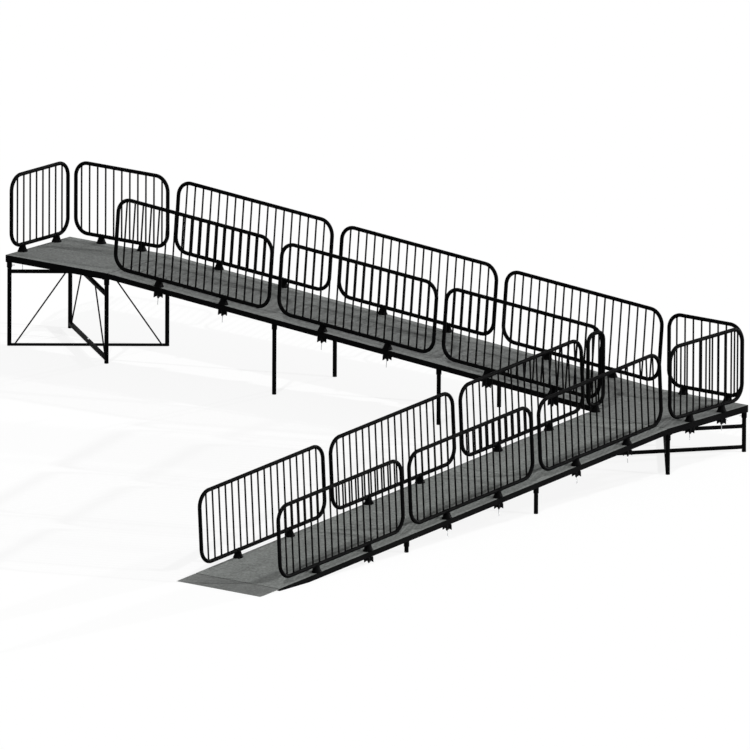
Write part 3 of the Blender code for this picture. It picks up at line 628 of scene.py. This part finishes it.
# Folding risers: two leg frames that cross, on round legs with collars
riser = dict(
    leg=1.0, sides=32, inset=1.3, tubeTop=0.4, tipHeight=0.55, tipSkin=0.02,
    collar=1.25, collarHeight=2.56, collarTop=[(-0.1, 0.0), (0.0, -0.08)],
    collarFoot=[(0.0, 0.1), (-0.04, 0.03), (-0.1, 0.0)], bandSpots=(0.55, 0.45),
    band=[(-0.03, -0.12), (0.02, -0.09), (0.02, 0.09), (-0.03, 0.12)],
    barWidth=1.9, barHeight=1.5, groundBar=1.0, lift=0.57, barEnd=0.6, barRounding=0.14,
    weldSpan=(1.16, 0.72), weldSide=0.039, weldRise=0.065, weldRounding=0.12)

# The thin braces, and the weld cone at each end with its radii as shares of the brace
brace = dict(radius=0.36, sides=16, foot=2.4, lean=0.69, wide=1.7, narrow=1.05, height=0.3,
             back=0.1, lift=0.08)

# Each riser: name, corner, length, width, deck level, drops of the upper bars, heading, braced
risers = [
    ("top_riser", (-topLength, 0), topLength, deckWidth, site["topLevel"], (4.0, 1.1), 1, True),
    ("mid_riser", (upperRun, -midStep), deckWidth, midLength, site["midLevel"], (3.7, 0.8), -1, False)]


def barLevels(deck, drops):
    outerTop = deck - site["landingDepth"] - drops[0]
    innerTop = outerTop - riser["barHeight"] - drops[1]
    innerLow = riser["groundBar"] + riser["lift"]
    return (((0.0, riser["groundBar"]), (outerTop - riser["barHeight"], outerTop)),
            ((innerLow, innerLow + riser["barHeight"]), (innerTop - riser["barHeight"], innerTop)))


def legBrace(bm, half, bars, side, place):
    low, high = [(bottom + top) / 2 for bottom, top in bars]
    near = half - brace["foot"]
    far = near - brace["lean"] * (high - low)
    rod(bm, (side * near, 0, low), (side * far, 0, high), brace["radius"], brace["sides"], place)
    for start, level, z, way in ((near, low, bars[0][1], 1), (far, high, bars[1][0], -1)):
        x = start - brace["lean"] * (z - level) - brace["lean"] * way * brace["back"]
        lie = move(side * x, 0, z + way * brace["lift"]) @ turn(0 if way > 0 else 180, "X")
        cone(bm, place @ lie, brace["radius"] * brace["wide"], brace["radius"] * brace["narrow"],
             brace["height"], brace["sides"])


def legFrame(bm, half, top, bars, braced, place):
    leg, collar, sides, deep = riser["leg"], riser["collar"], riser["sides"], riser["barWidth"] / 2
    collarLow = top - riser["collarHeight"]
    for side in (-1, 1):
        stand = place @ move(side * half)
        lathe(bm, [(leg, top - riser["tubeTop"]), (leg, riser["tipHeight"])], sides, stand)
        lathe(bm, around(riser["collarTop"], collar, top) + around(riser["collarFoot"], collar, collarLow),
              sides, stand)
        for z in (top - riser["bandSpots"][0], collarLow + riser["bandSpots"][1]):
            lathe(bm, around(riser["band"], collar, z), sides, stand, True)
        for low, high in bars:   # the weld where a bar meets the leg
            box(bm, sorted(side * (half - inward) for inward in riser["weldSpan"]),
                (-deep - riser["weldSide"], deep + riser["weldSide"]),
                (max(0.0, low - riser["weldRise"]), high + riser["weldRise"]), place,
                riser["weldRounding"], 3)
        if braced:
            legBrace(bm, half, bars, side, place)
    for low, high in bars:
        reach = half - riser["barEnd"]
        box(bm, (-reach, reach), (-deep, deep), (low, high), place, riser["barRounding"], 3)


# Rubber tip of a leg
tip = dict(top=[(-0.06, 0.05), (-0.06, 0.0), (-0.01, -0.04), (0.0, -0.1)],
           foot=[(0.0, 0.12), (-0.04, 0.03), (-0.12, 0.0)], sides=32)


def legTip(bm, place, radius, height):
    lathe(bm, around(tip["top"], radius, height) + around(tip["foot"], radius), tip["sides"], place)


# Lock pin through a collar: a shank, a nut on the collar's face and a round pull
pin = dict(radius=0.13, sides=12, drop=1.55, root=0.08, reach=1.0, nut=(0.05, 0.16), nutRadius=0.247,
           pull=0.2145, pullSides=(14, 8))


def lockPin(bm, place, half, side, z):
    face = half - riser["collar"]
    end = side * (face - pin["reach"])
    rod(bm, (side * (face + pin["root"]), 0, z), (end, 0, z), pin["radius"], pin["sides"], place)
    rod(bm, (side * (face + pin["nut"][0]), 0, z), (side * (face - pin["nut"][1]), 0, z),
        pin["nutRadius"], 6, place)
    bmesh.ops.create_uvsphere(bm, u_segments=pin["pullSides"][0], v_segments=pin["pullSides"][1],
                              radius=pin["pull"], matrix=place @ move(end, 0, z))


# Pivot bolt with its washers and nuts; a nut is its radius and how far it stands turned
bolt = dict(
    radius=0.25, sides=20, end=[(-0.05, 0.0), (0.0, -0.06)], tail=0.45, headBite=0.02, recess=0.12,
    nutHeight=0.43, nuts=((0.4606, 17), (0.4512, 38)), nutRounding=0.05,
    washer=0.5, washerHeight=0.09, washerEdge=0.03, washerSides=28)


def pivotBolt(bm, place, lowBar, highBar, headBelow):
    tall, thick, edge, gap = bolt["nutHeight"], bolt["washerHeight"], bolt["washerEdge"], site["gap"]
    top = highBar[1] + tall + (0.0 if headBelow else bolt["tail"])
    bottom = lowBar[0] - tall + bolt["headBite"] if headBelow else lowBar[0] + bolt["recess"]
    lathe(bm, around(bolt["end"], bolt["radius"], top) + [(bolt["radius"], bottom)], bolt["sides"], place)
    washers = [(highBar[0] - gap, lowBar[1] + gap), (highBar[1] + thick, highBar[1] + gap)]
    nuts = [(highBar[1] + thick, highBar[1] + tall)]
    if headBelow:
        washers.append((lowBar[0] - gap, lowBar[0] - thick))
        nuts.append((lowBar[0] - tall, lowBar[0] - thick))
    for high, low in washers:
        lathe(bm, around([(-edge, 0.0), (0.0, -edge)], bolt["washer"], high)
              + around([(0.0, edge), (-edge, 0.0)], bolt["washer"], low), bolt["washerSides"], place)
    for (low, high), (radius, turned) in zip(nuts, bolt["nuts"]):
        verts = cone(bm, place @ turn(turned) @ move(z=(low + high) / 2), radius, radius, high - low, 6)
        bevel(bm, verts + edgesOf(verts), bolt["nutRounding"])


for name, corner, length, wide, deck, drops, heading, braced in risers:
    halfLength, halfWide = length / 2 - riser["inset"], wide / 2 - riser["inset"]
    half = math.hypot(halfLength, halfWide)
    swing = math.degrees(math.atan2(halfWide, halfLength))
    middle = move(corner[0] + length / 2, corner[1] + wide / 2)
    outer, inner = barLevels(deck, drops)
    top = deck - site["landingDepth"] - site["padThickness"] - site["gap"]
    for kind, sense, bars in (("outer", heading, outer), ("inner", -heading, inner)):
        place = middle @ turn(sense * swing)
        node = f"{name}_{kind}_frame"
        bm, tips, pins = bmesh.new(), bmesh.new(), bmesh.new()
        legFrame(bm, half, top, bars, braced, place)
        for side in (-1, 1):
            legTip(tips, place @ move(side * half), riser["leg"] + riser["tipSkin"], riser["tipHeight"])
            lockPin(pins, place, half, side, top - pin["drop"])
        finishPiece(f"legFrame_{name}_{kind}", bm, "coat", node=node)
        finishPiece(f"legTips_{name}_{kind}", tips, "rubber", body=bodyOf[node])
        finishPiece(f"lockPins_{name}_{kind}", pins, "zinc", body=bodyOf[node])
    for label, lowBar, highBar, headBelow in (("lower", outer[0], inner[0], False),
                                              ("upper", inner[1], outer[1], True)):
        bm = bmesh.new()
        pivotBolt(bm, middle, lowBar, highBar, headBelow)
        finishPiece(f"pivotBolt_{name}_{label}", bm, "zinc", node=f"{name}_{label}_bolt")
print("risers:", len(risers))


# Plug-in legs of the ramp sections, and a smooth sleeve round each socket, as steps from its mouth
leg = dict(
    radius=1.0, sides=32, inset=1.3, top=[(-0.03, 0.0), (-0.005, -0.03)], skin=0.005, tipHeight=0.8,
    socket=1.25, socketHeight=2.56, sleeveSkin=0.015, bore=1.05,
    sleeve=[(0.0, 2.5), (0.0, 0.12), (-0.03, 0.03), (-0.08, -0.01)], rim=(-0.01, 0.04),
    lining=[(-0.06, 0.06), (-0.06, 2.5)])
legCount = 0
for run, places, fall, sides in (("upper", upperPlaces, topFall, ("front", "back")),
                                 ("lower", lowerPlaces, midFall, ("left", "right"))):
    for k in (1, 2):
        place, sleeves = places[k], bmesh.new()
        upright = place.to_3x3().inverted().to_4x4()
        for side, y in zip(sides, (leg["inset"], deckWidth - leg["inset"])):
            spot = Vector((leg["inset"], y, -site["rampDepth"]))
            drop = leg["socket"] * math.tan(fall)
            top = place @ (spot + upright @ Vector((0, 0, -drop - site["gap"])))
            mouth = (place @ (spot + upright @ Vector((0, 0, -leg["socketHeight"])))).z
            stand = move(top.x, top.y, 0)
            name = f"{run}_{side}_{k + 1}"
            tube, rubber = bmesh.new(), bmesh.new()
            profile = around(leg["top"], leg["radius"], top.z)
            profile.append((leg["radius"] - leg["skin"], leg["tipHeight"]))
            lathe(tube, profile, leg["sides"], stand)
            legTip(rubber, stand, leg["radius"], leg["tipHeight"])
            finishPiece("plugLeg_" + name, tube, "coat", node="leg_" + name)
            finishPiece("legTip_" + name, rubber, "rubber", body="leg_" + name)
            skin = leg["socket"] + leg["sleeveSkin"]
            profile = around(leg["sleeve"], skin, mouth) + [(leg["bore"], mouth + up) for up in leg["rim"]]
            lathe(sleeves, profile + around(leg["lining"], skin, mouth), leg["sides"], stand, True)
            legCount += 1
        finishPiece(f"legSleeves_{run}_{k + 1}", sleeves, "coat")
print("plug-in legs:", legCount)


# Sleeves round the ramp's own hinge knuckles, in the plate's grey
hinge = dict(reach=0.36, depth=0.33, margin=1.0, knuckles=5, gap=0.02, barrel=0.3, skin=0.012,
             wall=0.08, edge=(0.02, 0.03), sides=24, strip=((0.0005, 0.02), (0.1, 47.9), (-0.3, -0.004)),
             stripRounding=0.004)
place, sleeves = lowerPlaces[-1], bmesh.new()
axis = place @ move(lowerLength + hinge["reach"], 0, -hinge["depth"]) @ turn(-90, "X")
knuckle = (deckWidth - 2 * hinge["margin"]) / hinge["knuckles"]
outside, inside = hinge["barrel"] + hinge["skin"], hinge["barrel"] - hinge["wall"]
inward, along = hinge["edge"]
for k in range(0, hinge["knuckles"], 2):
    low = hinge["margin"] + k * knuckle + hinge["gap"]
    high = low + knuckle - 2 * hinge["gap"]
    lathe(sleeves, [(outside - inward, low), (outside, low + along), (outside, high - along),
                    (outside - inward, high), (inside, high), (inside, low)], hinge["sides"], axis, True)
finishPiece("hingeSleeves", sleeves, "plate")

# A thin strip on the end of the frame, clear of the plate when it lifts
strip = bmesh.new()
box(strip, *hinge["strip"], place @ move(lowerLength), hinge["stripRounding"])
finishPiece("hingeStrip", strip, "plate")
print("hinge sleeves:", (hinge["knuckles"] + 1) // 2)


# Floor, light and camera; a sun is its name, direction, strength and angle
studio = dict(
    floor=160.0, floorTone=1.0, drop=0.001, lift=0.85, sky=0.18, backdrop=1.0,
    suns=[("frontHigh", (-0.32, 0.85, -1.0), 1.4, 1.2), ("rightLow", (-1.0, -0.38, -0.29), 4.6, 0.8),
          ("backLow", (-0.136, -1.0, -0.216), 1.8, 0.8)],
    azimuth=37.836, elevation=13.316, roll=0.268, distance=416.06, halfAngle=0.01053, sensor=36.0,
    aim=(154.74, 3.0, 17.39))


def seenDirectly(tree):   # 1 where the camera, a reflection or a view through glass sees the backdrop
    path = tree.nodes.new("ShaderNodeLightPath")
    camera, glossy, through = (Wire(tree, path.outputs[key]) for key in (
        "Is Camera Ray", "Is Glossy Ray", "Is Transmission Ray"))
    return camera + glossy + through


floorFinish = Finish("paleFloor", Specular_IOR_Level=0.0, Roughness=0.9)
floorFinish.feed(Base_Color=(studio["floorTone"],) * 3)
glow = floorFinish.node("ShaderNodeEmission", Color=(1.0, 1.0, 1.0), Strength=studio["backdrop"])
blendNode = floorFinish.node("ShaderNodeMixShader", Fac=seenDirectly(floorFinish.tree) * studio["lift"],
                             n1=Wire(floorFinish.tree, floorFinish.shader.outputs[0]), n2=glow)
floorFinish.tree.links.new(blendNode.socket, floorFinish.tree.nodes["Material Output"].inputs["Surface"])
bm = bmesh.new()
bmesh.ops.create_grid(bm, x_segments=1, y_segments=1, size=studio["floor"] / 2,
                      matrix=move(z=-studio["drop"]))
mesh = bpy.data.meshes.new("studioFloor")
bm.to_mesh(mesh)
bm.free()
mesh.materials.append(floorFinish.material)
floor = bpy.data.objects.new("studioFloor", mesh)
scene.collection.objects.link(floor)

world = bpy.data.worlds.new("studioWorld")
world.use_nodes = True
scene.world = world
skyTree = world.node_tree
skyNode = skyTree.nodes["Background"]
skyLight = seenDirectly(skyTree) * (studio["backdrop"] - studio["sky"]) + studio["sky"]
plug(skyTree, skyNode.inputs["Strength"], skyLight)
plug(skyTree, skyNode.inputs["Color"], (1.0, 1.0, 1.0))

for name, direction, strength, angle in studio["suns"]:
    lamp = bpy.data.lights.new(name, "SUN")
    lamp.energy = strength
    lamp.angle = math.radians(angle)
    sun = bpy.data.objects.new(name, lamp)
    sun.rotation_euler = Vector(direction).to_track_quat("-Z", "Y").to_euler()
    scene.collection.objects.link(sun)

azimuth, elevation = math.radians(studio["azimuth"]), math.radians(studio["elevation"])
back = Vector((math.sin(azimuth) * math.cos(elevation), -math.cos(azimuth) * math.cos(elevation),
               math.sin(elevation)))
lens = bpy.data.cameras.new("camera")
lens.sensor_width = studio["sensor"]
lens.lens = studio["sensor"] / 2 / studio["halfAngle"]
lens.clip_start = 1.0
lens.clip_end = studio["distance"] * 2.5
camera = bpy.data.objects.new("camera", lens)
camera.location = toFrame @ Vector(studio["aim"]) + back * studio["distance"]
camera.rotation_euler = (back.to_track_quat("Z", "Y").to_matrix() @
                         Matrix.Rotation(math.radians(studio["roll"]), 3, "Z")).to_euler()
scene.collection.objects.link(camera)
scene.camera = camera
scene.view_settings.view_transform = "Standard"
print("studio and camera placed")
